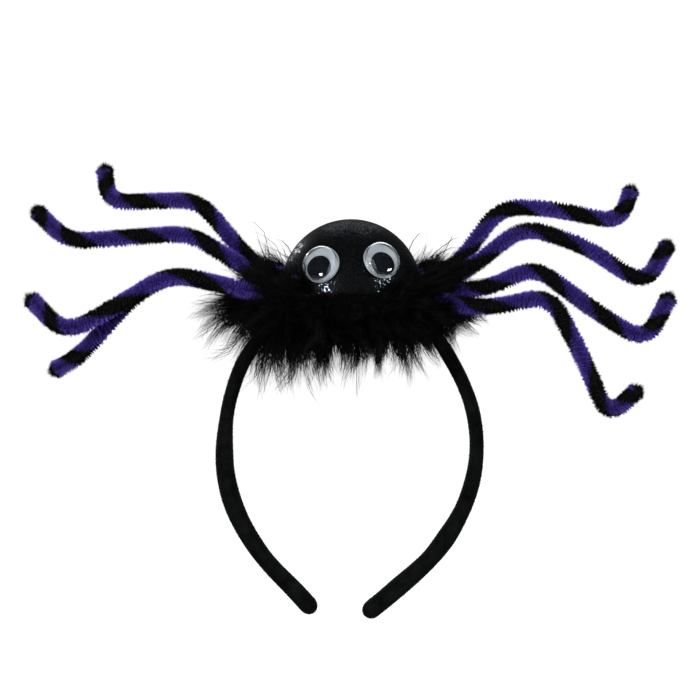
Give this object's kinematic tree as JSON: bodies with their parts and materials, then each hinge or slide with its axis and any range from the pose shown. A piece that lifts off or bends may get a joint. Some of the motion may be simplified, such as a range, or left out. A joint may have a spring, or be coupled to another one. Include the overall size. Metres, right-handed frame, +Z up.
{
  "type": "spider headband",
  "caption": "Open padded headband with a half-ball spider on its crown: fur ring, twisted chenille legs and rolling googly eyes.",
  "frame": {"origin": "inner crown of the hoop, where it sits on top of a head", "axes": "+Z up, out of the head through the body's top; +X to the right of a viewer who faces the spider; the spider faces -Y"},
  "size_m": [0.3251, 0.1336, 0.2189],
  "materials": {
    "band_velvet": "velvet",
    "body_cloth": "glitter",
    "fur_black": "feather",
    "stem_black": "chenille",
    "stem_purple": "chenille",
    "eye_white": "satin",
    "eye_clear": "clear",
    "pupil_black": "gloss"
  },
  "bodies": {
    "root": {"band": "band_velvet", "body_dome": "body_cloth", "fur_trim": "fur_black", "leg_left_1_black": "stem_black", "leg_left_1_purple": "stem_purple", "leg_left_2_black": "stem_black", "leg_left_2_purple": "stem_purple", "leg_left_3_black": "stem_black", "leg_left_3_purple": "stem_purple", "leg_left_4_black": "stem_black", "leg_left_4_purple": "stem_purple", "leg_right_1_black": "stem_black", "leg_right_1_purple": "stem_purple", "leg_right_2_black": "stem_black", "leg_right_2_purple": "stem_purple", "leg_right_3_black": "stem_black", "leg_right_3_purple": "stem_purple", "leg_right_4_black": "stem_black", "leg_right_4_purple": "stem_purple", "eye_back_left": "eye_white", "eye_back_right": "eye_white", "eye_cover_left": "eye_clear", "eye_cover_right": "eye_clear"},
    "pupil_left": {"pupil_left": "pupil_black"},
    "pupil_right": {"pupil_right": "pupil_black"}
  },
  "joints": [
    {"name": "pupil_left_roll", "type": "hinge", "parent": "root", "child": "pupil_left", "pos_m": [-0.01455, -0.02932, 0.02442], "axis": [-0.3955, -0.7967, 0.4571], "continuous": true},
    {"name": "pupil_right_roll", "type": "hinge", "parent": "root", "child": "pupil_right", "pos_m": [0.0149, -0.02803, 0.02622], "axis": [0.4049, -0.7616, 0.506], "continuous": true}
  ]
}
